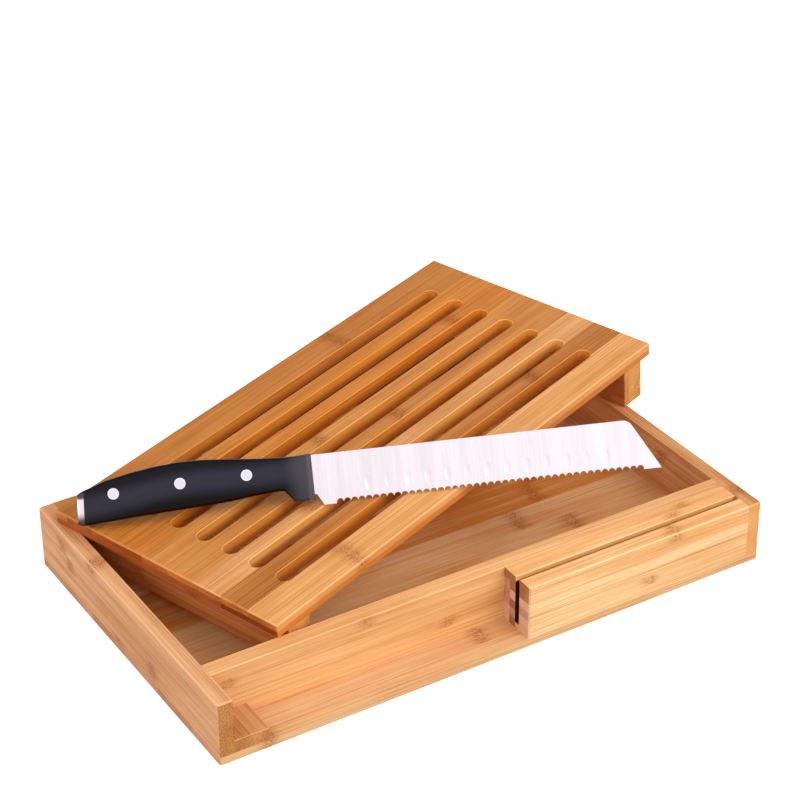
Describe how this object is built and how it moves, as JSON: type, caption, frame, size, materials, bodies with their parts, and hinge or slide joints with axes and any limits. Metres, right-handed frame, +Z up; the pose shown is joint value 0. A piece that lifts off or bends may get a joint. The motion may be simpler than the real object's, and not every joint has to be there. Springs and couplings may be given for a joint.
{
  "type": "cutting board with crumb tray and knife",
  "caption": "Slotted bamboo bread board resting askew on its crumb tray, whose front channel stores the serrated bread knife that lies on the board.",
  "frame": {"origin": "centre of the tray's flat underside", "axes": "+X to the right along the tray's front, +Y to the back, +Z up"},
  "size_m": [0.3788, 0.3028, 0.0925],
  "materials": {
    "floor_bamboo": "oiled, grain along the length",
    "end_panel_bamboo": "oiled, grain from front to back",
    "rail_bamboo": "oiled, grain along the length",
    "block_bamboo": "oiled, laminated rows at its end",
    "rest_bamboo": "oiled, grain from front to back",
    "board_bamboo": "oiled, grain along the length",
    "cleat_bamboo": "oiled, grain across the board",
    "dowel_wood": "plain",
    "blade_steel": "brushed across the blade",
    "handle_black": "satin black",
    "polished_steel": "polished"
  },
  "bodies": {
    "tray": {"base_panel": "floor_bamboo", "left_end_panel": "end_panel_bamboo", "right_end_panel": "end_panel_bamboo", "divider_rail": "rail_bamboo", "back_rail": "rail_bamboo", "knife_slot_block": "block_bamboo", "handle_rest_block": "rest_bamboo", "left_corner_dowels": "dowel_wood", "right_corner_dowels": "dowel_wood"},
    "board": {"board_strip_1": "board_bamboo", "board_strip_2": "board_bamboo", "board_strip_3": "board_bamboo", "board_strip_4": "board_bamboo", "board_strip_5": "board_bamboo", "board_strip_6": "board_bamboo", "board_strip_7": "board_bamboo", "board_strip_8": "board_bamboo", "left_cleat": "cleat_bamboo", "right_cleat": "cleat_bamboo", "left_cleat_dowels": "dowel_wood", "right_cleat_dowels": "dowel_wood"},
    "knife": {"blade_with_tang": "blade_steel", "near_handle_scale": "handle_black", "far_handle_scale": "handle_black", "butt_cap": "polished_steel", "front_rivet": "polished_steel", "middle_rivet": "polished_steel", "rear_rivet": "polished_steel"}
  },
  "joints": [
    {"name": "board_lift", "type": "slide", "parent": "tray", "child": "board", "axis": [0, 0, 1], "range_m": [0, 0.08]},
    {"name": "knife_lift", "type": "slide", "parent": "board", "child": "knife", "axis": [0, 0, 1], "range_m": [0, 0.08]}
  ]
}
